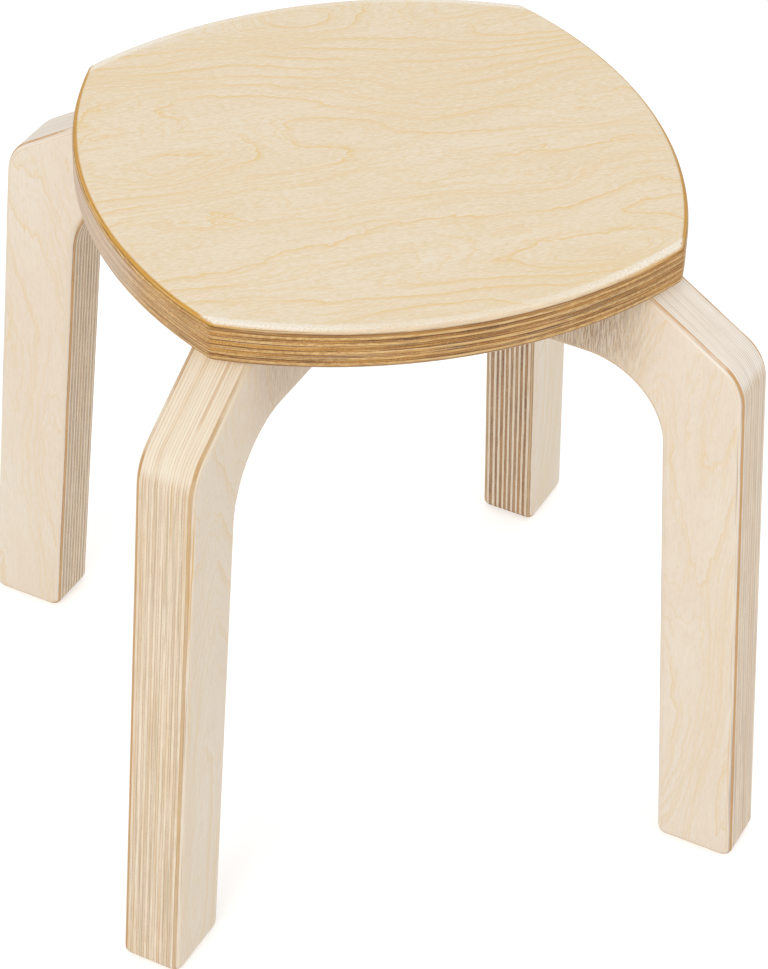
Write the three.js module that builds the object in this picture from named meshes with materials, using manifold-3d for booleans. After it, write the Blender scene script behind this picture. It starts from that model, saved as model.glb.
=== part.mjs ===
// Stacking stool in birch plywood: a square seat with bowed sides on two crossed arch frames.
// Millimetres, +Z up, origin on the floor under the middle of the seat.
// The seat's sides face X and Y, so the two arch frames stand on its diagonals.

import * as THREE from 'three';
import { mergeVertices } from 'three/addons/utils/BufferGeometryUtils.js';
import Module from 'manifold-3d';

const wasm = await Module();
wasm.setup();

const radians = THREE.MathUtils.degToRad;

// Seat
const stoolHeight = 300;
const seatThickness = 18;
const seatCornerReach = 136.4;    // middle of the seat to where two sides would meet, along a diagonal
const seatSideBow = 24.6;         // how far a side swells past the line between those corners
const seatCornerRadius = 5;       // in plan, rounding each corner off
const seatRoundOver = 3.3;        // radius run round the top and bottom edges

// Arch frames, as drawn flat in the plane of the plate
const archThickness = 26.8;
const footReach = 190.5;          // middle of the stool to the outside of a foot
const legDepth = 35.3;            // outer edge to inner edge of a leg, measured level
const legLean = radians(4.33);    // how far a leg leans out from upright
const railDepth = 37.3;           // underside of the seat to the crown of the arch
const haunchRadius = 36.4;        // inside curve from leg to crown
const shoulderSetback = 10.3;     // seat corner back to where the shoulder starts to fall
const shoulderFall = radians(32.6);
const shoulderRadius = 21.7;
const footCornerRadius = 4.8;
const archRoundOver = 3.4;        // radius run round both faces of the plate
const lapClearance = 0.3;         // glue line in the halved joint, on every side of it

// Dowels that place the seat on the frames
const dowelDiameter = 8;
const dowelLength = 30;
const dowelReach = 105;           // middle of the stool to a dowel
const dowelSeatDepth = 10;        // how much of a dowel stands in the seat
const dowelFluteDepth = 0.35;
const dowelChamfer = 0.8;
const dowelFlutes = 12;

// Wood screws that draw the seat down
const screwDiameter = 4.5;
const screwLength = 35;           // underside of the head to the tip
const screwTipLength = 5;
const screwHeadDiameter = 9;
const screwHeadHeight = 2.4;
const screwHeadShares = [[0.7, 1], [0.92, 0.6], [1, 0.25], [1, 0]];  // dome, of radius and height
const screwSeatBite = 13;         // how much of a screw stands in the seat
const screwReach = 60;            // middle of the stool to a screw
const screwRecessWidth = 1.1;
const screwRecessSpan = 4.6;
const screwRecessDepth = 1.5;
const counterboreDiameter = 11;

const holeClearance = 0.3;        // all round a dowel or screw, and past its end
const facetError = 0.08;          // most that a flat facet may stray from its curve
const weldDistance = 0.001;       // corners nearer than this are one corner
const cutOverrun = 2;             // how far a cutting tool runs out past the wood
const roundOverSteps = 5;
const smallRoundSteps = 20;

// Heights and reaches that follow from the sizes above
const seatUnderside = stoolHeight - seatThickness;
const crownHeight = seatUnderside - railDepth;
const leanRatio = Math.tan(legLean);
const fallRatio = Math.tan(shoulderFall);
const railTopReach = seatCornerReach - shoulderSetback;
const diagonal = radians(45);
const quarterTurn = radians(90);

// Material colours
const faceVeneer = new THREE.Color(0.87, 0.78, 0.64);
const archVeneer = new THREE.Color(0.89, 0.82, 0.7);
const beech = new THREE.Color(0.8, 0.62, 0.44);
const zincPlate = new THREE.Color(0.72, 0.73, 0.74);

// A list of points round an arc, in steps that keep the facet error. The last point is left to
// whatever comes next.
function arcPoints(centreX, centreY, radius, fromAngle, sweep) {
  const stepAngle = 2 * Math.acos(1 - facetError / radius);
  const steps = Math.max(2, Math.ceil(Math.abs(sweep) / stepAngle));
  const points = [];
  for (let i = 0; i < steps; i += 1) {
    const angle = fromAngle + (sweep * i) / steps;
    points.push(new THREE.Vector2(
      centreX + radius * Math.cos(angle),
      centreY + radius * Math.sin(angle),
    ));
  }
  return points;
}

// A closed outline through sharp corners [x, y, radius], with each corner rounded to its radius.
function roundedOutline(corners) {
  const points = [];
  corners.forEach(([x, y, radius], i) => {
    const corner = new THREE.Vector2(x, y);
    if (radius === 0) {
      points.push(corner);
      return;
    }
    const [beforeX, beforeY] = corners.at(i - 1);
    const [afterX, afterY] = corners[(i + 1) % corners.length];
    const back = new THREE.Vector2(beforeX, beforeY).sub(corner).normalize();
    const ahead = new THREE.Vector2(afterX, afterY).sub(corner).normalize();
    const halfAngle = Math.acos(back.dot(ahead)) / 2;
    const toCentre = back.clone().add(ahead).normalize();
    const centre = corner.clone().addScaledVector(toCentre, radius / Math.sin(halfAngle));
    const start = corner.clone().addScaledVector(back, radius / Math.tan(halfAngle));
    const end = corner.clone().addScaledVector(ahead, radius / Math.tan(halfAngle));
    const turn = Math.sign(ahead.cross(back));
    const fromAngle = Math.atan2(start.y - centre.y, start.x - centre.x);
    const sweep = turn * (Math.PI - 2 * halfAngle);
    points.push(...arcPoints(centre.x, centre.y, radius, fromAngle, sweep), end);
  });
  return points;
}

// A board cut to an outline, with both its faces' edges rounded over. It lies on XY, from z = 0 up.
function roundedBoard(outline, thickness, roundOver) {
  const board = new THREE.ExtrudeGeometry(new THREE.Shape(outline), {
    depth: thickness - 2 * roundOver,
    bevelEnabled: true,
    bevelThickness: roundOver,
    bevelSize: roundOver,
    bevelOffset: -roundOver,
    bevelSegments: roundOverSteps,
  });
  return board.translate(0, 0, roundOver);
}

// A round bar or bit standing on its lower end at z = bottom.
function roundBar(radius, bottom, top) {
  const bar = new THREE.CylinderGeometry(radius, radius, top - bottom, smallRoundSteps);
  return bar.rotateX(quarterTurn).translate(0, 0, (bottom + top) / 2);
}

// A rectangular cutter from one corner to the other.
function cutter(low, high) {
  const size = high.clone().sub(low);
  const middle = high.clone().add(low).multiplyScalar(0.5);
  return new THREE.BoxGeometry(size.x, size.y, size.z).translate(middle.x, middle.y, middle.z);
}

function toSolid(geometry) {
  const bare = geometry.clone();
  bare.deleteAttribute('normal');
  bare.deleteAttribute('uv');
  const merged = mergeVertices(bare, weldDistance);
  return new wasm.Manifold(new wasm.Mesh({
    numProp: 3,
    vertProperties: new Float32Array(merged.attributes.position.array),
    triVerts: new Uint32Array(merged.index.array),
  }));
}

function cutFrom(geometry, cutters) {
  const solid = cutters.reduce((left, tool) => left.subtract(toSolid(tool)), toSolid(geometry));
  const mesh = solid.getMesh();
  const result = new THREE.BufferGeometry();
  result.setAttribute('position', new THREE.BufferAttribute(mesh.vertProperties, 3));
  result.setIndex(new THREE.BufferAttribute(mesh.triVerts, 1));
  result.computeVertexNormals();
  return result;
}

function piece(name, geometry, color, roughness, metalness) {
  const mesh = new THREE.Mesh(
    geometry,
    new THREE.MeshStandardMaterial({ color, roughness, metalness }),
  );
  mesh.name = name;
  return mesh;
}

// Where the four arms of the crossed frames point, and the name that goes with each.
const arms = [
  { name: 'front_left', angle: diagonal + 2 * quarterTurn },
  { name: 'front_right', angle: diagonal + 3 * quarterTurn },
  { name: 'back_right', angle: diagonal },
  { name: 'back_left', angle: diagonal + quarterTurn },
];

// The seat: each side is one long arc, and a small arc rounds each corner off between two of
// them. Underneath it has a blind hole for every dowel and a pilot hole for every screw.
function seatOutline() {
  const halfChord = seatCornerReach / Math.SQRT2;
  const sideRadius = (halfChord ** 2 + seatSideBow ** 2) / (2 * seatSideBow);
  const centreOffset = sideRadius - halfChord - seatSideBow;
  const aside = centreOffset / Math.SQRT2;
  const cornerCentreReach = Math.sqrt((sideRadius - seatCornerRadius) ** 2 - aside ** 2) - aside;
  const cornerCentre = cornerCentreReach / Math.SQRT2;
  const halfSweep = Math.atan2(cornerCentre, cornerCentre + centreOffset);
  const points = [];
  for (let side = 0; side < 4; side += 1) {
    const facing = side * quarterTurn;
    points.push(...arcPoints(
      -centreOffset * Math.cos(facing),
      -centreOffset * Math.sin(facing),
      sideRadius,
      facing - halfSweep,
      2 * halfSweep,
    ));
    points.push(...arcPoints(
      cornerCentreReach * Math.cos(facing + diagonal),
      cornerCentreReach * Math.sin(facing + diagonal),
      seatCornerRadius,
      facing + halfSweep,
      quarterTurn - 2 * halfSweep,
    ));
  }
  return points;
}

function seatPanel() {
  const holes = arms.flatMap(({ angle }) => {
    const dowelHole = roundBar(
      dowelDiameter / 2 + holeClearance,
      seatUnderside - cutOverrun,
      seatUnderside + dowelSeatDepth + holeClearance,
    );
    const pilotHole = roundBar(
      screwDiameter / 2 + holeClearance,
      seatUnderside - cutOverrun,
      seatUnderside + screwSeatBite + holeClearance,
    );
    return [
      dowelHole.translate(dowelReach, 0, 0).rotateZ(angle),
      pilotHole.translate(screwReach, 0, 0).rotateZ(angle),
    ];
  });
  const board = roundedBoard(seatOutline(), seatThickness, seatRoundOver);
  return cutFrom(board.translate(0, 0, seatUnderside), holes);
}

// One arch frame, cut in one piece from thick plywood: two leaning legs, a level rail under the
// seat, rounded haunches inside and sloping shoulders outside. It stands on the XZ plane.
function archOutline() {
  const footInside = footReach - legDepth;
  const shoulderReach = (footReach - leanRatio * (seatUnderside + fallRatio * railTopReach))
    / (1 - leanRatio * fallRatio);
  const shoulderHeight = seatUnderside - fallRatio * (shoulderReach - railTopReach);
  const haunchReach = footInside - leanRatio * crownHeight;
  return roundedOutline([
    [footInside, 0, footCornerRadius],
    [footReach, 0, footCornerRadius],
    [shoulderReach, shoulderHeight, shoulderRadius],
    [railTopReach, seatUnderside, 0],
    [-railTopReach, seatUnderside, 0],
    [-shoulderReach, shoulderHeight, shoulderRadius],
    [-footReach, 0, footCornerRadius],
    [-footInside, 0, footCornerRadius],
    [-haunchReach, crownHeight, haunchRadius],
    [haunchReach, crownHeight, haunchRadius],
  ]);
}

// The slot that halves one frame into the other. One frame is slotted from above and passes
// under, the other is slotted from below and drops over it.
function lapSlot(fromAbove) {
  const halfWidth = archThickness / 2 + lapClearance;
  const floor = crownHeight + railDepth / 2;
  const [bottom, top] = fromAbove
    ? [floor - lapClearance / 2, seatUnderside + cutOverrun]
    : [crownHeight - cutOverrun, floor + lapClearance / 2];
  return cutter(
    new THREE.Vector3(-halfWidth, -archThickness, bottom),
    new THREE.Vector3(halfWidth, archThickness, top),
  );
}

const screwHeadSeat = seatUnderside + screwSeatBite - screwLength;

function archFrame(slottedFromAbove) {
  const board = roundedBoard(archOutline(), archThickness, archRoundOver);
  const upright = board.translate(0, 0, -archThickness / 2).rotateX(quarterTurn);
  const holes = [-1, 1].flatMap((side) => {
    const dowelHole = roundBar(
      dowelDiameter / 2 + holeClearance,
      seatUnderside - dowelLength + dowelSeatDepth - holeClearance,
      seatUnderside + cutOverrun,
    );
    const screwHole = roundBar(
      screwDiameter / 2 + holeClearance,
      crownHeight - cutOverrun,
      seatUnderside + cutOverrun,
    );
    const counterbore = roundBar(
      counterboreDiameter / 2,
      crownHeight - cutOverrun,
      screwHeadSeat,
    );
    return [
      dowelHole.translate(side * dowelReach, 0, 0),
      screwHole.translate(side * screwReach, 0, 0),
      counterbore.translate(side * screwReach, 0, 0),
    ];
  });
  return cutFrom(upright, [lapSlot(slottedFromAbove), ...holes]);
}

// A fluted beech dowel. The flutes let glue and air out of the hole.
function fluteOutline() {
  const points = [];
  for (let i = 0; i < 2 * dowelFlutes; i += 1) {
    const angle = (Math.PI * i) / dowelFlutes;
    const radius = dowelDiameter / 2 - (i % 2) * dowelFluteDepth;
    points.push(new THREE.Vector2(radius * Math.cos(angle), radius * Math.sin(angle)));
  }
  return points;
}

function dowel() {
  const bar = new THREE.ExtrudeGeometry(new THREE.Shape(fluteOutline()), {
    depth: dowelLength - 2 * dowelChamfer,
    bevelEnabled: true,
    bevelThickness: dowelChamfer,
    bevelSize: dowelChamfer,
    bevelOffset: -dowelChamfer,
    bevelSegments: 1,
  });
  return bar.translate(0, 0, seatUnderside + dowelSeatDepth - dowelLength + dowelChamfer);
}

// A wood screw with a flat-bottomed domed head and a cross recess. It points up, with the
// underside of its head on the floor of the counterbore.
function screw() {
  const dome = screwHeadShares.map(([radiusShare, heightShare]) => new THREE.Vector2(
    (radiusShare * screwHeadDiameter) / 2,
    -heightShare * screwHeadHeight,
  ));
  const profile = [
    new THREE.Vector2(0, -screwHeadHeight),
    ...dome,
    new THREE.Vector2(screwDiameter / 2, 0),
    new THREE.Vector2(screwDiameter / 2, screwLength - screwTipLength),
    new THREE.Vector2(0, screwLength),
  ];
  const body = new THREE.LatheGeometry(profile, smallRoundSteps).rotateX(quarterTurn);
  const slot = cutter(
    new THREE.Vector3(-screwRecessSpan / 2, -screwRecessWidth / 2, -screwHeadHeight - cutOverrun),
    new THREE.Vector3(screwRecessSpan / 2, screwRecessWidth / 2, screwRecessDepth - screwHeadHeight),
  );
  const recess = [slot, slot.clone().rotateZ(quarterTurn)];
  return cutFrom(body, recess).translate(0, 0, screwHeadSeat);
}

const stool = new THREE.Group();
stool.add(piece('seat_panel', seatPanel(), faceVeneer, 0.5, 0));

const underFrame = piece('arch_frame_under', archFrame(true), archVeneer, 0.55, 0);
underFrame.rotation.z = diagonal;
stool.add(underFrame);

const overFrame = piece('arch_frame_over', archFrame(false), archVeneer, 0.55, 0);
overFrame.rotation.z = diagonal + quarterTurn;
stool.add(overFrame);

arms.forEach(({ name, angle }) => {
  const arm = new THREE.Group();
  arm.rotation.z = angle;

  const seatDowel = piece(`seat_dowel_${name}`, dowel(), beech, 0.7, 0);
  seatDowel.position.x = dowelReach;
  arm.add(seatDowel);

  const seatScrew = piece(`seat_screw_${name}`, screw(), zincPlate, 0.35, 1);
  seatScrew.position.x = screwReach;
  arm.add(seatScrew);

  stool.add(arm);
});

export default stool;
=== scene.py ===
# A low stacking stool in birch plywood: a square seat with bowed sides on two crossed arch frames.
# Metres, +Z up, the floor at zero and the front at -Y. The frames stand on the seat's diagonals.

import random
from math import atan2, copysign, cos, pi, radians, sin, sqrt, tan
from types import SimpleNamespace

import bmesh
import bpy
from mathutils import Matrix, Vector


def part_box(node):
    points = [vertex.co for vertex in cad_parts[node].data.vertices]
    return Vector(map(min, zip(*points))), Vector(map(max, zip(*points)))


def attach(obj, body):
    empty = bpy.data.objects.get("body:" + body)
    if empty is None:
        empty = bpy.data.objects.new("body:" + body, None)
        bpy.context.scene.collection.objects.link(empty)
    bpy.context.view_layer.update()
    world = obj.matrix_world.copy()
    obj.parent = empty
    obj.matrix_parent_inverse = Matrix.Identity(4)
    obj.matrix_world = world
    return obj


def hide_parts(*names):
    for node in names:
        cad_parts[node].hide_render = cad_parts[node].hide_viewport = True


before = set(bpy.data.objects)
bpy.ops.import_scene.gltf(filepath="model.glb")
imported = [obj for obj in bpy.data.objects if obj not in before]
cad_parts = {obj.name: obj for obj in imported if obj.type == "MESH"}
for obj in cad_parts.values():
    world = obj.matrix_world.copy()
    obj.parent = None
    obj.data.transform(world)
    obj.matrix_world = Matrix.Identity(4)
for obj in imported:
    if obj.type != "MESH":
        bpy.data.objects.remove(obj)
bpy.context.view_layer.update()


# Arch frames. Each is one plate of thick birch plywood, sawn to two leaning legs, a level rail,
# round haunches inside and sloping shoulders outside. Both faces' edges are rounded over on the
# router. One plate is slotted from above, the other from below, and they are glued together.

# A reach is measured from the middle of the stool, out along a diagonal.
seat_low, seat_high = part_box("seat_panel")
underside = seat_low.z
arch_thickness = 0.0268
arch_plies = 21
ply_variation = 0.15
arch_round_over = 0.0034
foot_reach = 0.1905
leg_depth = 0.0353
leg_lean = tan(radians(4.33))
rail_depth = 0.0373
crown = underside - rail_depth
haunch_radius = 0.0364
shoulder_top_reach = 0.1261
shoulder_fall = tan(radians(32.6))
shoulder_radius = 0.0217
foot_corner_radius = 0.0048
lap_gap = 0.0003

dowel_reach = 0.105
dowel_hole_radius = 0.0043
dowel_hole_top = underside + 0.0103
dowel_hole_floor = underside - 0.0203

screw_reach = 0.060
screw_length = 0.035
screw_bite = 0.013
screw_hole_radius = 0.00255
screw_hole_top = underside + 0.0133
counterbore_radius = 0.0055
counterbore_floor = underside + screw_bite - screw_length

# Cutters run this far out past the surface that they cut into.
overrun = 0.002


def spun_outline(bm, corners, steps=20):
    """A face inside corners of (x, y, radius), each rounded by spinning a point round its centre."""
    starts, ends = [], []
    for i, (x, y, radius) in enumerate(corners):
        corner = Vector((x, y, 0))
        back = (Vector((*corners[i - 1][:2], 0)) - corner).normalized()
        ahead = (Vector((*corners[(i + 1) % len(corners)][:2], 0)) - corner).normalized()
        half_angle = back.angle(ahead) / 2
        start = bm.verts.new(corner + back * radius / tan(half_angle))
        end = start
        if radius:
            centre = corner + (back + ahead).normalized() * radius / sin(half_angle)
            turn = copysign(pi - 2 * half_angle, ahead.cross(back).z)
            spun = bmesh.ops.spin(
                bm, geom=[start], cent=centre, axis=(0, 0, 1), angle=turn, steps=steps
            )
            end = next(v for v in spun["geom_last"] if isinstance(v, bmesh.types.BMVert))
        starts.append(start)
        ends.append(end)
    for end, start in zip(ends, starts[1:] + starts[:1]):
        bm.edges.new((end, start))
    return bmesh.ops.contextual_create(bm, geom=bm.edges)["faces"]


def round_over_board(bm, faces, thickness, radius, steps=8):
    """Gives a sawn outline its thickness, and rounds over the edges of both faces."""
    grown = bmesh.ops.extrude_face_region(bm, geom=faces)["geom"]
    lifted = [v for v in grown if isinstance(v, bmesh.types.BMVert)]
    bmesh.ops.translate(bm, verts=lifted, vec=(0, 0, thickness))
    bmesh.ops.recalc_face_normals(bm, faces=bm.faces)
    rims = [e for e in bm.edges if abs(e.verts[0].co.z - e.verts[1].co.z) < thickness / 2]
    bmesh.ops.bevel(
        bm, geom=rims, offset=radius, offset_type="OFFSET", segments=steps, profile=0.5,
        affect="EDGES", material=-1,
    )


def bored(bm, cutters):
    """The mesh of a board once its slots and holes are cut."""
    board = bpy.data.meshes.new("board")
    bm.to_mesh(board)
    bits = bpy.data.meshes.new("bits")
    cutters.to_mesh(bits)
    bm.free()
    cutters.free()
    blank = bpy.data.objects.new("blank", board)
    tools = bpy.data.objects.new("tools", bits)
    for made in (blank, tools):
        bpy.context.scene.collection.objects.link(made)
    cut = blank.modifiers.new("cut", "BOOLEAN")
    cut.object = tools
    cut.operation = "DIFFERENCE"
    cut.solver = "EXACT"
    cut.use_self = True
    ready = blank.evaluated_get(bpy.context.evaluated_depsgraph_get())
    mesh = bpy.data.meshes.new_from_object(ready)
    for made in (blank, tools):
        bpy.data.objects.remove(made)
    return mesh


def bore(cutters, radius, bottom, top, reach, angle):
    """A round bit, standing up, at a reach from the middle of the stool along an arm."""
    place = Vector((reach * cos(angle), reach * sin(angle), (bottom + top) / 2))
    bmesh.ops.create_cone(
        cutters, cap_ends=True, segments=48, radius1=radius, radius2=radius,
        depth=top - bottom, matrix=Matrix.Translation(place),
    )


def set_in_place(name, mesh, material, slot, *nodes):
    """Puts a finished piece in the scene, where it stands for its CAD nodes."""
    for face in mesh.polygons:
        face.use_smooth = True
    mesh.set_sharp_from_angle(angle=radians(28))
    mesh.materials.clear()
    mesh.materials.append(material)
    mesh.name = name
    piece = bpy.data.objects.new(name, mesh)
    bpy.context.scene.collection.objects.link(piece)
    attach(piece, "root")
    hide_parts(*nodes)
    return piece


def flat_faces_stay_flat(piece):
    """Lets the broad faces set the shading, so that only the round-overs curve."""
    weighted = piece.modifiers.new("flats", "WEIGHTED_NORMAL")
    weighted.keep_sharp = True
    weighted.weight = 100


class Wire:
    """A socket of a material's nodes. Sums on wires add the Math nodes that work them out."""

    def __init__(self, tree, socket=None):
        self.tree = tree
        self.socket = socket

    def node(self, kind, settings=None, sockets=None, output=0):
        """Adds a node of a kind: first its settings, then its sockets' values or links."""
        node = self.tree.nodes.new("ShaderNode" + kind)
        for name, setting in (settings or {}).items():
            if name == "stops":
                elements = node.color_ramp.elements
                elements.remove(elements[1])
                elements[0].position = setting[0][0]
                elements[0].color = setting[0][1]
                for place, colour in setting[1:]:
                    elements.new(place).color = colour
            else:
                setattr(node, name, setting)
        for name, value in (sockets or {}).items():
            socket = node.inputs[name]
            if isinstance(value, Wire):
                self.tree.links.new(value.socket, socket)
            else:
                socket.default_value = value
        return Wire(self.tree, node.outputs[output])

    def math(self, operation, *values):
        return self.node("Math", {"operation": operation}, dict(enumerate(values)))

    def __add__(self, other):
        return self.math("ADD", self, other)

    def __radd__(self, other):
        return self.math("ADD", other, self)

    def __sub__(self, other):
        return self.math("SUBTRACT", self, other)

    def __rsub__(self, other):
        return self.math("SUBTRACT", other, self)

    def __mul__(self, other):
        return self.math("MULTIPLY", self, other)

    def __rmul__(self, other):
        return self.math("MULTIPLY", other, self)

    def __truediv__(self, other):
        return self.math("DIVIDE", self, other)

    def __pow__(self, other):
        return self.math("POWER", self, other)

    def __rpow__(self, other):
        return self.math("POWER", other, self)

    def __mod__(self, other):
        return self.math("FLOORED_MODULO", self, other)

    def __abs__(self):
        return self.math("ABSOLUTE", self)

    def floor(self):
        return self.math("FLOOR", self)

    def least(self, other):
        return self.math("MINIMUM", self, other)

    def most(self, other):
        return self.math("MAXIMUM", self, other)

    def equals(self, whole_number):
        return self.math("COMPARE", self, whole_number, 0.5)

    def split(self):
        """The x, y and z of a place or direction."""
        parts = self.node("SeparateXYZ", None, {0: self}).socket.node.outputs
        return [Wire(self.tree, part) for part in parts]

    def rise(self, low, high):
        """A soft step from 0 at low to 1 at high, or down if low is the higher."""
        settings = {"interpolation_type": "SMOOTHSTEP"}
        sockets = {"Value": self, "From Min": low, "From Max": high}
        return self.node("MapRange", settings, sockets)

    def noise(self, x, y, z, detail=2.0, roughness=0.5):
        """Smooth noise from 0 to 1, with x, y and z counted in its own grains."""
        place = self.node("CombineXYZ", None, {"X": x, "Y": y, "Z": z})
        sockets = {"Vector": place, "Scale": 1.0, "Detail": detail, "Roughness": roughness}
        return self.node("TexNoise", None, sockets)

    def blend(self, share, under, over):
        """Two colours mixed, from under at a share of 0 to over at 1."""
        settings = {"data_type": "RGBA", "clamp_factor": True}
        return self.node("Mix", settings, {0: share, 6: under, 7: over}, output=2)

    def into(self, shader, socket):
        """Leads this wire into a socket of the shader."""
        self.tree.links.new(self.socket, shader.inputs[socket])


def paint(red, green, blue):
    """A colour given as a screen shows it, from 0 to 255, as the shader needs it."""
    return (*(((c / 255 + 0.055) / 1.055) ** 2.4 for c in (red, green, blue)), 1.0)


def new_material(name):
    """A material with its shader, and the wire that its nodes are built from."""
    material = bpy.data.materials.new(name)
    material.use_nodes = True
    shader = material.node_tree.nodes["Principled BSDF"]
    return material, shader, Wire(material.node_tree)


def plies_and_grain(wire, lie, offset, layup, seed):
    """Where a point is in a board of plywood, and the grain of the ply that it is in.

    lie turns the stool's axes to the board's own: along the face grain, across it, and up
    through the plies. offset then puts its lowest ply at zero. layup is the plies' thicknesses,
    and each is crossed on the one below. The plywood is worked out right through, so that every
    cut in the board shows its plies.
    """
    turn = lie.to_euler()
    space = wire.node("TexCoord", output="Object")
    normal = wire.node("TexCoord", output="Normal")
    place = wire.node("Mapping", None, {"Vector": space, "Rotation": turn, "Location": offset})
    facing = wire.node("Mapping", None, {"Vector": normal, "Rotation": turn})
    along, across, depth = place.split()
    faces_along, faces_across, faces_up = facing.split()

    # The ply's number comes from a ramp of the layup. The press has left the plies wavering over
    # 45 mm and rippling over 9 mm, by part of a millimetre.
    thickness, plies = sum(layup), len(layup)
    stops = [(sum(layup[:i]) / thickness, (i / plies,) * 3 + (1,)) for i in range(plies)]
    stops.append((1.0, (1, 1, 1, 1)))
    waver = wire.noise(along / 0.045, across / 0.045, depth / 0.006 + seed, 1.0) - 0.5
    ripple = wire.noise(along / 0.009, across / 0.009, depth / 0.0015 + seed, 2.0, 0.6) - 0.5
    share = (depth + waver * 0.0004 + ripple * 0.0002) / thickness
    height = wire.node("ValToRGB", {"stops": stops}, {0: share}) * plies
    ply = height.floor().least(plies - 1)
    crossed = ply % 2
    outermost = ply.equals(0) + ply.equals(plies - 1)
    luck = wire.node("TexWhiteNoise", {"noise_dimensions": "1D"}, {"W": ply + seed}, "Value")

    # The grain runs along in one ply and across in the next. Where it runs out through the
    # surface it shows its ends, and in a face ply it does so as soon as the round-over starts.
    run = along + (across - along) * crossed
    over = across + (along - across) * crossed
    ends = abs(faces_along) + (abs(faces_across) - abs(faces_along)) * crossed
    end_share = ends.rise(0.2, 0.8).most(outermost * ends.rise(0.12, 0.42))

    # In turn: long fibres, fine fibres, the rings that the knife peeled through as the edge shows
    # them, open pores, warmer patches, and where a glue line is broken. Each place is divided by
    # the size of a grain in metres.
    fibre = wire.noise(run / 0.022, over / 0.0007, depth / 0.0006 + ply * 5.7, 3.0, 0.6)
    fine = wire.noise(run / 0.006, over / 0.00025, depth / 0.00022 + ply * 3.1, 2.0, 0.6)
    peel = wire.noise(along / 0.020, across / 0.020, depth / 0.00050 + ply * 9.3, 3.0, 0.7)
    pores = wire.noise(along / 0.0006, across / 0.0006, depth / 0.0004 + ply * 6.1, 2.0, 0.6)
    patch = wire.noise(along / 0.045, across / 0.045, ply * 4.3 + seed, 2.0, 0.6)
    broken = wire.noise(along / 0.028, across / 0.028, height.floor() * 2.9 + seed, 3.0, 0.6)

    return SimpleNamespace(
        thickness=thickness, along=along, across=across, depth=depth,
        faces_along=faces_along, faces_across=faces_across, flat=abs(faces_up).rise(0.86, 0.98),
        ply=ply, in_ply=height - ply, crossed=crossed, outermost=outermost,
        by_face=ply.equals(1) + ply.equals(plies - 2), luck=luck, run=run, over=over,
        end_share=end_share, fibre=fibre, fine=fine, peel=peel, pores=pores, patch=patch,
        broken=broken,
    )


def sawn_edge(wire, board, wood):
    """A sawn edge's pale colour, its brown colour, how brown it is, and its share of glue.

    It is pale where the grain lies along it and brown where the grain runs out of it, with the
    veneers' rings as hairlines and their open ends as specks.
    """
    pale = wire.blend(board.fibre.rise(0.34, 0.66), *wood["long_grain"])
    pale = wire.blend(board.peel.rise(0.42, 0.34) * 0.35, pale, wood["crossed"])
    pale = wire.blend(board.outermost * 0.55, pale, wood["light"])
    brown = wire.blend(board.peel.rise(0.42, 0.57), wood["dark"], wood["crossed"])
    brown = wire.blend(board.patch.rise(0.46, 0.66) * 0.6, brown, wood["warm"])
    brown = wire.blend(board.pores.rise(0.54, 0.70) * 0.6, brown, wood["glue"])
    brown = wire.blend(board.pores.rise(0.46, 0.32) * 0.5, brown, wood["long_grain"][0])
    brown = wire.blend(board.by_face * 0.75, brown, wood["by_face"])
    plain = wire.blend(board.peel.rise(0.34, 0.6), wood["crossed"], wood["straight"])
    plain = wire.blend(board.outermost, plain, wood["face"])
    pitted = board.outermost * board.pores.rise(0.56, 0.70) * 0.5
    plain = wire.blend(pitted, plain, wood["dark"])
    brown = wire.blend(board.crossed, plain, brown)
    brownness = board.end_share * (0.78 + 0.22 * board.luck) * (0.80 + 0.4 * board.fine)
    to_glue = board.in_ply.least(1.0 - board.in_ply)
    glue = to_glue.rise(0.20, 0.06) * board.broken.rise(0.36, 0.56) * (0.3 + 0.6 * board.end_share)
    return pale, brown, brownness, glue


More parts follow.
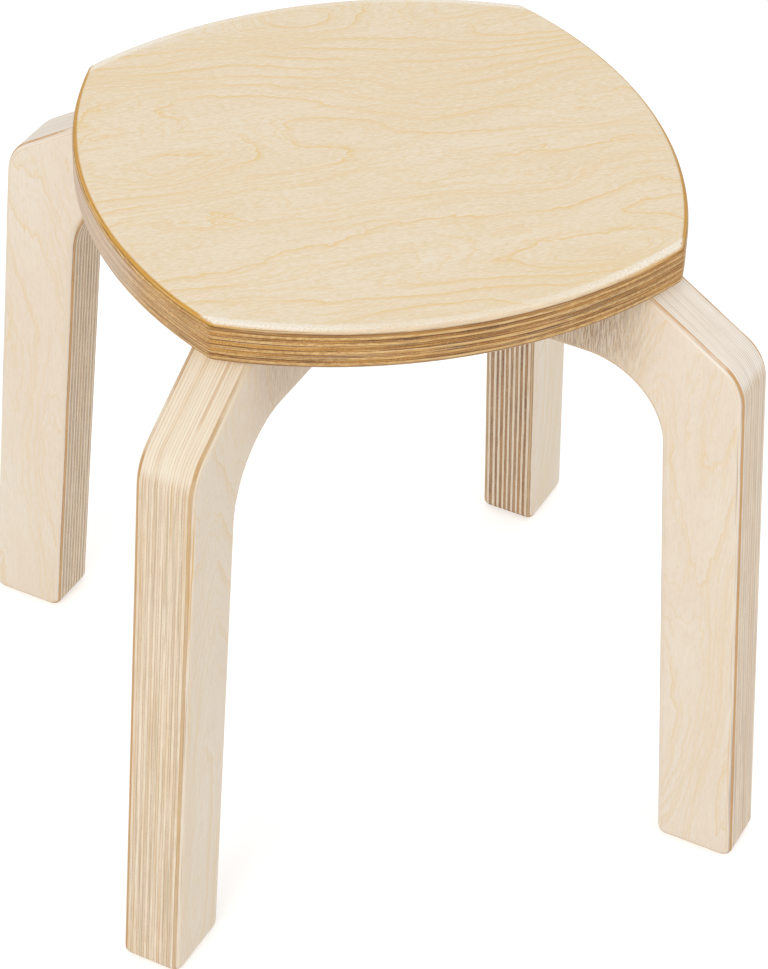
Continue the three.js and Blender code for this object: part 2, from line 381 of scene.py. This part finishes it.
def face_veneer(wire, board, rings, wood, seed):
    """The face veneer's colour, with growth rings where the peeling knife ran out through them.

    rings works out the rings' count at a place on the face. Dividing what is left of a ring by
    how fast the count grows gives the distance to it, so every ring's line is equally thin.
    """

    def count_at(along, across):
        teeth = wire.noise(along / 0.013, across / 0.0046, seed + 3, 2.0, 0.55) - 0.5
        return rings(wire, along, across) + teeth * 0.5

    along, across = board.along, board.across
    count = count_at(along, across)
    step = 0.0004
    steep_along = (count_at(along + step, across) - count) / step
    steep_across = (count_at(along, across + step) - count) / step
    steepness = (steep_along**2 + steep_across**2) ** 0.5
    short_of_ring = (1.0 - count % 1.0) / steepness
    short_of_thin = (1.0 - (count * 3.0 + 0.4) % 1.0) / steepness / 3

    # The veneer's tone, streaks that flow with the rings, fibres, and short dashes.
    tone = wire.noise(along / 0.12, across / 0.03, seed + 9, 2.0, 0.5)
    flow = wire.noise(along / 0.03, count * 7.0, seed + 12, 2.0, 0.55)
    dash = wire.noise(board.run / 0.0028, board.over / 0.0006, board.depth / 0.0006 + seed, 1.0)
    face = wire.blend(tone.rise(0.3, 0.7), wood["light"], wood["deep"])
    face = wire.blend(flow.rise(0.38, 0.72) * 0.4, face, wood["streak"])
    face = wire.blend(board.fibre.rise(0.4, 0.75) * wood["fibre"], face, wood["streak"])
    face = wire.blend(dash.rise(0.50, 0.62) * wood["fibre"] * 0.6, face, wood["streak"])
    face = wire.blend(dash.rise(0.47, 0.34) * wood["fibre"], face, wood["light"])

    # Each ring is a soft band that ends in a sharp line. Thinner ones show where those fade.
    fading = wire.noise(along / 0.055, across / 0.022, seed + 6, 1.0)
    strong = fading.rise(0.36, 0.60) * wood["strength"]
    band = short_of_ring.rise(0.0050, 0.0) ** 1.5 * strong * 0.5
    line = short_of_ring.rise(0.0011, 0.0003) * strong * wood["sharp"]
    faint = short_of_thin.rise(0.0016, 0.0002) * fading.rise(0.60, 0.42) * wood["strength"]
    for share in (band, line, faint * 0.45):
        face = wire.blend(share, face, wood["ring"])
    return wire.blend(dash.rise(0.735, 0.80) * 0.5, face, wood["straight"])


def lacquer(wire, shader, board, colour, glue):
    """Satin lacquer over the wood, with the glue lines and the fibres' grooves just felt."""
    edgewise = 1.0 - board.flat
    grooves = board.fibre * 0.6 + board.fine * 0.4 - glue * 1.2 * edgewise
    relief = wire.node("Bump", None, {"Strength": 0.12, "Distance": 0.0003, "Height": grooves})
    rough = 0.40 + board.end_share * edgewise * 0.18 + board.fine * 0.06
    colour.into(shader, "Base Color")
    relief.into(shader, "Normal")
    rough.into(shader, "Roughness")


def arch_plywood(name, angle, layup, wood, calm, seed):
    """Birch plywood for an arch frame, its face grain upright.

    calm is the share of their brown that the outward edges keep after the sander. Under the seat the
    faces' fibres are torn and darkened towards the seat, partly the wood's texture and partly
    painted shade, and a dark line along the joint with the seat is painted shade.
    """
    material, shader, wire = new_material(name)
    lie = Matrix(((0, 0, 1), (cos(angle), sin(angle), 0), (-sin(angle), cos(angle), 0)))
    board = plies_and_grain(wire, lie, (0, 0, arch_thickness / 2), layup, seed)
    along, across, depth, luck = board.along, board.across, board.depth, board.luck
    pale, brown, brownness, glue = sawn_edge(wire, board, wood)

    # Edges that face upwards, the shoulders, are painted paler, as painted light from above, and
    # keep less of their brown, hairlines and glue. The outward edges keep brown in the plies next to
    # the faces and in a streak here and there.
    upward = board.faces_along.rise(0.2, 0.5)
    pale = wire.blend(upward * 0.85, pale, wood["shoulder"])
    outside = (board.faces_across * wire.math("SIGN", across)).rise(-0.3, 0.3)
    streaked = wire.noise(along / 0.05, board.ply * 7.7, seed, 1.0).rise(0.60, 0.66)
    browner = luck.rise(0.55, 0.75)
    kept = calm * (0.3 + 1.1 * luck) * (1.0 - upward * 0.7) + board.by_face * 0.7
    kept = kept + (0.85 - kept) * streaked * browner * (1.0 - upward * 0.5)
    brownness = brownness * (1.0 - outside * (1.0 - kept))
    brownness = brownness + board.by_face * upward * board.broken.rise(0.38, 0.56) * 0.6
    brown = wire.blend(outside * browner, brown, wood["warm"])

    # Their hairlines are orange in bundles, and grey elsewhere.
    hairs = wire.noise(along / 0.085, across / 0.085, depth / 0.00048 + seed, 3.0, 0.6)
    bundle = wire.noise(along / 0.15, across / 0.15, depth / 0.0030 + seed, 1.0)
    orange = hairs.rise(0.52, 0.64) * (0.15 + 0.85 * bundle.rise(0.42, 0.62))
    haired = wire.blend(orange, pale, wood["orange_hair"])
    haired = wire.blend(hairs.rise(0.48, 0.38), haired, wood["grey_hair"])
    pale = wire.blend(outside * (1.0 - upward * 0.6), pale, haired)
    glue = glue * (1.0 - upward * 0.5)
    edge = wire.blend(brownness, pale, brown)
    edge = wire.blend(glue, edge, wire.blend(outside, wood["glue"], wood["calm_glue"]))

    # The grain stands upright, so along is also the height over the floor.
    def rings(wire, along, across):
        """Long swells up the legs, cut by the peeling knife into pointed arches."""
        swell = wire.noise(along / 0.20, across / 0.05, seed, 1.0, 0.4)
        return swell * 11.0 + across * 22.0

    face = face_veneer(wire, board, rings, wood, seed)
    # Torn fibres on the rail faces, darker towards the seat: partly the wood's texture, partly
    # painted shade under the seat.
    torn_fibres_and_shade = wire.noise(along / 0.0070, across / 0.00050, depth / 0.001, 2.0, 0.7)
    torn_fibres_and_shade = (0.35 + 0.65 * torn_fibres_and_shade.rise(0.42, 0.60)) * along.rise(underside - 0.06, underside - 0.02)
    torn_fibres_and_shade = torn_fibres_and_shade * abs(across).rise(0.140, 0.105)
    face = wire.blend(torn_fibres_and_shade * 0.75, face, wood["torn_fibres_and_shade"])
    colour = wire.blend(board.flat, edge, face)
    # A dark line along the top of the arch where it meets the seat: painted shade under the seat's
    # edge, in the glue's colour.
    painted_joint_shade = along.rise(underside - 0.0024, underside - 0.0010) * board.broken.rise(0.35, 0.6)
    colour = wire.blend(painted_joint_shade * 0.7, colour, wood["glue"])
    lacquer(wire, shader, board, colour, glue)
    return material


def arch_blank():
    """One arch frame's plate, lying flat, before it is slotted and bored."""
    foot_inside = foot_reach - leg_depth

    # The shoulder is where its slope meets the leg's leaning outer edge.
    slope_at_middle = underside + shoulder_fall * shoulder_top_reach
    shoulder_reach = (foot_reach - leg_lean * slope_at_middle) / (1 - leg_lean * shoulder_fall)
    shoulder_height = underside - shoulder_fall * (shoulder_reach - shoulder_top_reach)
    haunch_reach = foot_inside - leg_lean * crown
    bm = bmesh.new()
    faces = spun_outline(
        bm,
        [
            (foot_inside, 0, foot_corner_radius),
            (foot_reach, 0, foot_corner_radius),
            (shoulder_reach, shoulder_height, shoulder_radius),
            (shoulder_top_reach, underside, 0),
            (-shoulder_top_reach, underside, 0),
            (-shoulder_reach, shoulder_height, shoulder_radius),
            (-foot_reach, 0, foot_corner_radius),
            (-foot_inside, 0, foot_corner_radius),
            (-haunch_reach, crown, haunch_radius),
            (haunch_reach, crown, haunch_radius),
        ],
    )
    round_over_board(bm, faces, arch_thickness, arch_round_over)
    return bm


# Colours of the veneer and of the sawn edge, and how strongly the rings and fibres show.
arch_wood = {
    "light": paint(240, 227, 210), "deep": paint(237, 221, 201), "streak": paint(231, 213, 188),
    "ring": paint(232, 203, 150), "long_grain": (paint(241, 226, 203), paint(232, 213, 188)),
    "strength": 0.75, "sharp": 0.4, "fibre": 0.4,
}


def arch_frame(name, node, angle, slotted_from_above, ends, calm, seed):
    """One arch frame, stood up on its diagonal with its slot and holes."""
    bm = arch_blank()
    on_diagonal = Matrix.Rotation(angle, 4, "Z")
    upright = Matrix.Rotation(pi / 2, 4, "X")
    centred = Matrix.Translation((0, 0, -arch_thickness / 2))
    bmesh.ops.transform(bm, matrix=on_diagonal @ upright @ centred, verts=bm.verts)

    cutters = bmesh.new()
    halfway = crown + rail_depth / 2
    slot_low, slot_high = crown - overrun, halfway + lap_gap / 2
    if slotted_from_above:
        slot_low, slot_high = halfway - lap_gap / 2, underside + overrun
    slot_size = Vector((arch_thickness + 2 * lap_gap, 2 * arch_thickness, slot_high - slot_low))
    slot = Matrix.LocRotScale(Vector((0, 0, (slot_low + slot_high) / 2)), None, slot_size)
    bmesh.ops.create_cube(cutters, size=1, matrix=on_diagonal @ slot)
    for arm in (angle, angle + pi):
        bore(cutters, dowel_hole_radius, dowel_hole_floor, underside + overrun, dowel_reach, arm)
        bore(cutters, screw_hole_radius, crown - overrun, underside + overrun, screw_reach, arm)
        bore(cutters, counterbore_radius, crown - overrun, counterbore_floor, screw_reach, arm)

    rng = random.Random(seed)
    layup = [1 + rng.uniform(-ply_variation, ply_variation) for ply in range(arch_plies)]
    scale = arch_thickness / sum(layup)
    layup = [ply * scale for ply in layup]
    material = arch_plywood(name + "_plywood", angle, layup, arch_wood | ends, calm, seed)
    piece = set_in_place(name, bored(bm, cutters), material, "arch_plywood", node)
    flat_faces_stay_flat(piece)


arch_frame(
    "arch_under", "arch_frame_under", radians(45), slotted_from_above=True, calm=0.32, seed=11,
    ends={
        "dark": paint(112, 62, 24), "crossed": paint(172, 117, 60), "warm": paint(196, 144, 86),
        "straight": paint(208, 176, 132), "face": paint(220, 184, 130), "glue": paint(116, 72, 40),
        "by_face": paint(207, 173, 124), "calm_glue": paint(196, 154, 102),
        "orange_hair": paint(220, 178, 118), "grey_hair": paint(202, 182, 152),
        # The last two colours are the rail's torn fibres, darkened as painted shade, and the
        # shoulders' painted light.
        "torn_fibres_and_shade": paint(190, 162, 134), "shoulder": paint(243, 231, 209),
    },
)
arch_frame(
    "arch_over", "arch_frame_over", radians(135), slotted_from_above=False, calm=0.42, seed=23,
    ends={
        "dark": paint(184, 150, 116), "crossed": paint(221, 195, 165), "warm": paint(220, 184, 136),
        "straight": paint(218, 190, 154), "face": paint(216, 182, 134), "glue": paint(134, 102, 74),
        "by_face": paint(208, 152, 84), "calm_glue": paint(166, 130, 96),
        "orange_hair": paint(222, 184, 134), "grey_hair": paint(204, 186, 168),
        # The last two colours are the rail's torn fibres, darkened as painted shade, and the
        # shoulders' painted light.
        "torn_fibres_and_shade": paint(134, 92, 46), "shoulder": paint(252, 245, 234),
    },
)


# Seat. A square of thinner birch plywood whose four sides are each one long arc, with the corners
# just taken off. The top and bottom edges are rounded over, and the grain runs from side to side.
# It lies on both frames, bored from below for the dowels and screws that hold it.

seat_thickness = seat_high.z - seat_low.z
seat_round_over = 0.0033
seat_corner_reach = 0.1364
seat_side_bow = 0.0246
seat_corner_radius = 0.005
seat_half_width = seat_corner_reach / sqrt(2) + seat_side_bow
seat_side_radius = (seat_corner_reach**2 / 2 + seat_side_bow**2) / (2 * seat_side_bow)
seat_side_offset = seat_side_radius - seat_half_width
seat_side_steps = 48
seat_corner_steps = 6
one_over_e = 0.3679


def seat_blank():
    """The seat lying at its height. Sides and corners are spun in turn, each on from the last."""
    inner_radius = seat_side_radius - seat_corner_radius
    corner_reach = sqrt(inner_radius**2 - seat_side_offset**2 / 2) - seat_side_offset / sqrt(2)
    half_sweep = atan2(corner_reach / sqrt(2), corner_reach / sqrt(2) + seat_side_offset)
    bm = bmesh.new()
    start = seat_side_radius * Vector((cos(half_sweep), -sin(half_sweep), 0))
    point = bm.verts.new(start - Vector((seat_side_offset, 0, 0)))
    for side in range(4):
        facing = side * pi / 2
        for centre, heading, sweep, steps in (
            (-seat_side_offset, facing, 2 * half_sweep, seat_side_steps),
            (corner_reach, facing + pi / 4, pi / 2 - 2 * half_sweep, seat_corner_steps),
        ):
            cent = (centre * cos(heading), centre * sin(heading), 0)
            spun = bmesh.ops.spin(
                bm, geom=[point], cent=cent, axis=(0, 0, 1), angle=sweep, steps=steps
            )
            point = next(v for v in spun["geom_last"] if isinstance(v, bmesh.types.BMVert))
    bmesh.ops.remove_doubles(bm, verts=bm.verts, dist=1e-6)
    faces = bmesh.ops.contextual_create(bm, geom=bm.edges)["faces"]
    round_over_board(bm, faces, seat_thickness, seat_round_over)
    bmesh.ops.translate(bm, verts=bm.verts, vec=(0, 0, underside))
    return bm


def seat_rings(wire, along, across):
    """Rings across the seat, bent round the swells that the knots of the trunk left in them."""
    count = across * 58.0 + wire.noise(along / 0.08, across / 0.04, 14.0, 1.0) * 4.0
    for middle_x, middle_y, length, width, rings in (
        (0.100, 0.078, 0.062, 0.017, 4.2),
        (0.002, 0.104, 0.036, 0.022, 3.0),
        (-0.070, 0.060, 0.060, 0.026, -2.2),
        (-0.095, 0.010, 0.040, 0.016, 1.6),
        (-0.005, 0.022, 0.034, 0.016, -2.0),
        (0.070, -0.092, 0.050, 0.017, 3.0),
        (-0.015, -0.095, 0.040, 0.014, 1.6),
    ):
        aside = ((along - middle_x) / length) ** 2 + ((across - middle_y) / width) ** 2
        count = count + one_over_e**aside * rings
    return count


def seat_plywood(layup, wood, seed):
    """Birch plywood for the seat. Its edges keep their full brown, with dark and pale hairlines.

    The middles of its left and right edges are dusty, and along its front and back edges the top ply
    carries a painted highlight, a pale rim that is strongest towards the corners.
    """
    material, shader, wire = new_material("seat_plywood")
    board = plies_and_grain(wire, Matrix.Identity(3), (0, 0, -underside), layup, seed)
    along, across, depth = board.along, board.across, board.depth
    pale, brown, brownness, glue = sawn_edge(wire, board, wood)
    edge = wire.blend(brownness, pale, brown)
    edge = wire.blend(glue, edge, wood["glue"])
    hairline = wire.noise(along / 0.05, across / 0.05, depth / 0.00034 + seed, 2.0, 0.6)
    edge = wire.blend(hairline.rise(0.57, 0.65) * 0.55, edge, wood["glue"])
    edge = wire.blend(hairline.rise(0.42, 0.33) * 0.6, edge, wood["streak"])
    dusty = abs(board.faces_along).rise(0.95, 0.99) * (1.0 - board.outermost)
    edge = wire.blend(dusty * (0.45 + 0.35 * board.peel), edge, wood["dusty"])
    face = face_veneer(wire, board, seat_rings, wood, seed)
    colour = wire.blend(board.flat, edge, face)

    # A painted highlight: a pale band on the top ply, up to 6 mm in from the arc of the front or
    # back side, stronger towards the corners and broken by the pores.
    top_ply = depth.rise(board.thickness - 0.0013, board.thickness - 0.0004)
    on_board = wire.node("CombineXYZ", None, {"X": along, "Y": across})
    for side in (1, -1):
        ends = {0: on_board, 1: (0, side * seat_side_offset, 0)}
        reach = wire.node("VectorMath", {"operation": "DISTANCE"}, ends, "Value")
        painted_rim_highlight = (seat_side_radius - reach).rise(0.0060, 0.0042) * top_ply
        painted_rim_highlight = painted_rim_highlight * (0.45 + 0.55 * abs(along).rise(0.02, 0.08)) * board.pores.rise(0.66, 0.46)
        colour = wire.blend(painted_rim_highlight, colour, wood["painted_rim_highlight"])
    lacquer(wire, shader, board, colour, glue)
    return material


pilots = bmesh.new()
for quarter in range(4):
    arm = radians(45) + quarter * pi / 2
    bore(pilots, dowel_hole_radius, underside - overrun, dowel_hole_top, dowel_reach, arm)
    bore(pilots, screw_hole_radius, underside - overrun, screw_hole_top, screw_reach, arm)

seat_birch = seat_plywood(
    layup=[
        0.0012, 0.0008, 0.0016, 0.0012, 0.00115, 0.00145, 0.00145, 0.0026, 0.0013, 0.0014, 0.0013,
        0.001, 0.0019,
    ],
    wood={
        "light": paint(242, 228, 205), "deep": paint(239, 221, 191), "streak": paint(233, 209, 169),
        "ring": paint(236, 202, 138), "long_grain": (paint(229, 188, 120), paint(190, 140, 76)),
        "dark": paint(92, 52, 24), "crossed": paint(180, 121, 52), "warm": paint(218, 160, 78),
        "straight": paint(207, 168, 112), "face": paint(208, 152, 50), "glue": paint(74, 42, 22),
        # The colour for the top ply's rims is that of a painted highlight.
        "by_face": paint(160, 112, 58), "dusty": paint(206, 185, 166), "painted_rim_highlight": paint(250, 242, 228),
        "strength": 0.85, "sharp": 1.0, "fibre": 0.8,
    },
    seed=5,
)
seat = set_in_place("seat", bored(seat_blank(), pilots), seat_birch, "seat_plywood", "seat_panel")
flat_faces_stay_flat(seat)


# Dowels. Fluted beech pegs, glued into the tops of the arms and the underside of the seat, which
# they place before the screws draw it down. They are hidden once the stool is together.

beech, beech_shader, wire = new_material("beech")
side, front, up = wire.node("TexCoord", output="Object").split()
grain = wire.noise(side / 0.0005, front / 0.0005, up / 0.012, 3.0, 0.6)
fleck = wire.noise(side / 0.0002, front / 0.0008, up / 0.002, 1.0)
colour = wire.blend(grain.rise(0.3, 0.7), paint(224, 190, 152), paint(202, 160, 116))
colour = wire.blend(fleck.rise(0.62, 0.7) * 0.5, colour, paint(150, 100, 64))
relief = wire.node("Bump", None, {"Strength": 0.2, "Distance": 0.0002, "Height": grain})
colour.into(beech_shader, "Base Color")
relief.into(beech_shader, "Normal")
beech_shader.inputs["Roughness"].default_value = 0.7

for name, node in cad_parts.items():
    if name.startswith("seat_dowel"):
        for material_slot in node.material_slots:
            material_slot.material = beech


# Screws. Bright zinc-plated wood screws with a rolled thread, a domed head and a cross recess. They
# go up through counterbores in the crowns and draw the seat down onto the frames.

screw_radius = 0.00225
screw_core_radius = 0.00155
screw_tip_length = 0.005
thread_pitch = 0.002
thread_start = 0.004
thread_run_out = 0.0012
thread_root_radius = screw_core_radius * 0.9
thread_root_half_width = thread_pitch * 0.22
thread_crest_half_width = thread_root_half_width * 0.15
thread_steps = 24
tip_bluntness = 0.02
head_radius = 0.0045
head_height = 0.0024
head_underside_radius = head_radius * 0.96
bar_steps = 40
recess_size = Vector((0.0046, 0.0011, 0.0015))

zinc, zinc_shader, wire = new_material("zinc_plated_steel")
side, front, up = wire.node("TexCoord", output="Object").split()
plate = wire.noise(side / 0.0012, front / 0.0012, up / 0.0012, 3.0, 0.6)
drawn = wire.noise(side / 0.0002, front / 0.0002, up / 0.003, 2.0)
colour = wire.blend(plate.rise(0.3, 0.7), paint(206, 209, 211), paint(186, 188, 184))
colour.into(zinc_shader, "Base Color")
(0.24 + drawn * 0.18).into(zinc_shader, "Roughness")
zinc_shader.inputs["Metallic"].default_value = 1.0


def spun_bar(bm, outline):
    """A round bar from its outline of (radius, height), from the middle of one end to the other."""
    line = [bm.verts.new((radius, 0, height)) for radius, height in outline]
    edges = [bm.edges.new(pair) for pair in zip(line, line[1:])]
    bmesh.ops.spin(
        bm, geom=line + edges, cent=(0, 0, 0), axis=(0, 0, 1), angle=2 * pi, steps=bar_steps,
        use_merge=True,
    )


def wood_screw():
    """One screw, point up, with the underside of its head at zero, before its recess is cut."""
    bm = bmesh.new()
    angles = [radians(angle) for angle in range(0, 91, 10)]
    dome = [(sin(angle) * head_radius, -cos(angle) * head_height) for angle in angles]
    shank = [(screw_core_radius, 0), (screw_core_radius, screw_length - screw_tip_length)]
    spun_bar(bm, [*dome, (head_underside_radius, 0), *shank, (0, screw_length)])
    bmesh.ops.remove_doubles(bm, verts=bm.verts, dist=1e-6)
    bmesh.ops.recalc_face_normals(bm, faces=bm.faces)

    # The thread's profile stands on the core and winds up round it. Thread and core then taper
    # to the point together.
    corners = (
        (thread_root_radius, -thread_root_half_width), (screw_radius, -thread_crest_half_width),
        (screw_radius, thread_crest_half_width), (thread_root_radius, thread_root_half_width),
    )
    profile = [bm.verts.new((x, 0, thread_start + z)) for x, z in corners]
    wound = bm.faces.new(profile)
    turns = (screw_length - thread_start - thread_run_out) / thread_pitch
    bmesh.ops.spin(
        bm, geom=[wound, *wound.edges, *profile], cent=(0, 0, 0), axis=(0, 0, 1),
        angle=2 * pi * turns, steps=round(turns * thread_steps),
        dvec=(0, 0, thread_pitch / thread_steps),
    )
    for vert in bm.verts:
        past = vert.co.z - (screw_length - screw_tip_length)
        if past > 0 and vert.co.xy.length > 0:
            vert.co.xy *= max(1 - past / screw_tip_length, tip_bluntness)
    return bm


recess = bmesh.new()
cross_depth = Vector((0, 0, (recess_size.z - overrun) / 2 - head_height))
cross_bar = Matrix.LocRotScale(cross_depth, None, recess_size + Vector((0, 0, overrun)))
for turn in (0, pi / 2):
    turned = Matrix.Rotation(turn, 4, "Z")
    bmesh.ops.create_cube(recess, size=1, matrix=turned @ cross_bar)
finished_screw = bored(wood_screw(), recess)

for name in ("front_left", "front_right", "back_right", "back_left"):
    low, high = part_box("seat_screw_" + name)
    place = ((low.x + high.x) / 2, (low.y + high.y) / 2, counterbore_floor)
    screw = finished_screw.copy()
    screw.transform(Matrix.Translation(place))
    set_in_place("screw_" + name, screw, zinc, "zinc_plated_steel", "seat_screw_" + name)


# Floor and light. A pale floor and white surroundings, as in a catalogue studio, with the room's
# own even light, a large soft lamp high on the left, a weaker one on the right and a small one
# overhead. The floor lies just under the feet.

floor_size = 12.0
floor_drop = 0.0002
floor_white = 0.8
floor_glow = 0.45
room_light = 0.70


def looked_at(wire):
    """1 for what the camera sees, straight or by way of metal or glass, and 0 for lighting."""
    seen = wire.node("LightPath", output="Is Camera Ray")
    mirrored = wire.node("LightPath", output="Is Glossy Ray")
    through = wire.node("LightPath", output="Is Transmission Ray")
    return seen.most(mirrored).most(through)


floor_bm = bmesh.new()
dropped = Matrix.Translation((0, 0, -floor_drop))
bmesh.ops.create_grid(floor_bm, x_segments=1, y_segments=1, size=floor_size / 2, matrix=dropped)
floor_mesh = bpy.data.meshes.new("floor")
floor_bm.to_mesh(floor_mesh)
floor_bm.free()
floor = bpy.data.objects.new("floor", floor_mesh)
bpy.context.scene.collection.objects.link(floor)
floor_paint, floor_shader, wire = new_material("floor")
floor_shader.inputs["Base Color"].default_value = (floor_white, floor_white, floor_white, 1)
floor_shader.inputs["Roughness"].default_value = 1.0
floor_shader.inputs["Specular IOR Level"].default_value = 0.0
floor_shader.inputs["Emission Color"].default_value = (1, 1, 1, 1)
(looked_at(wire) * floor_glow).into(floor_shader, "Emission Strength")

# It is clear from below, and to rays shorter than a millimetre, which start under the feet.
behind = wire.node("NewGeometry", output="Backfacing")
underfoot = wire.node("LightPath", output="Ray Length").rise(0.0010, 0.0005)
clear = wire.node("BsdfTransparent")
solid = Wire(wire.tree, floor_shader.outputs[0])
either = wire.node("MixShader", None, {0: behind.most(underfoot), 1: solid, 2: clear})
either.into(wire.tree.nodes["Material Output"], "Surface")
floor_mesh.materials.append(floor_paint)

world = bpy.data.worlds.new("studio")
bpy.context.scene.world = world
world.use_nodes = True
wire = Wire(world.node_tree)
backdrop = world.node_tree.nodes["Background"]
backdrop.inputs["Color"].default_value = (1, 1, 1, 1)
(room_light + looked_at(wire) * (1 - room_light)).into(backdrop, "Strength")


def soft_lamp(name, place, size, power, aim=(0, 0, 0.15)):
    """A square soft box that faces the stool, filtered so that it throws no glare."""
    lamp = bpy.data.lights.new(name, "AREA")
    lamp.shape = "SQUARE"
    lamp.size = size
    lamp.energy = power
    holder = bpy.data.objects.new(name, lamp)
    holder.location = place
    holder.visible_glossy = False
    holder.rotation_euler = (Vector(place) - Vector(aim)).to_track_quat("Z", "Y").to_euler()
    bpy.context.scene.collection.objects.link(holder)


soft_lamp("key_lamp", (-1.85, -1.75, 1.74), 1.6, 28)
soft_lamp("top_lamp", (0.35, 0.4, 1.9), 0.35, 1.5)
soft_lamp("fill_lamp", (1.7, -1.7, 1.3), 1.4, 7.5)


# Camera. A long lens, held a little off level, in front of the stool and to its left. It looks a
# little beside and below the middle of the stool.

camera_bearing = radians(251.21)
camera_height = radians(38.71)
camera_roll = radians(2.005)
camera_distance = 1.4520
aim_beside = 0.00766
aim_below = 0.01757
focal_length = 124.4
film_width = 36

lens = bpy.data.cameras.new("camera")
lens.sensor_width = film_width
lens.lens = focal_length
camera = bpy.data.objects.new("camera", lens)
bpy.context.scene.collection.objects.link(camera)
level = cos(camera_height)
outward = Vector((level * cos(camera_bearing), level * sin(camera_bearing), sin(camera_height)))
facing = outward.to_track_quat("Z", "Y").to_matrix().to_4x4()
middle = Vector((0, 0, seat_high.z / 2))
place = middle + facing.to_3x3() @ Vector((aim_beside, -aim_below, camera_distance))
camera.matrix_world = Matrix.Translation(place) @ facing @ Matrix.Rotation(camera_roll, 4, "Z")
bpy.context.scene.camera = camera
bpy.context.scene.view_settings.view_transform = "Standard"
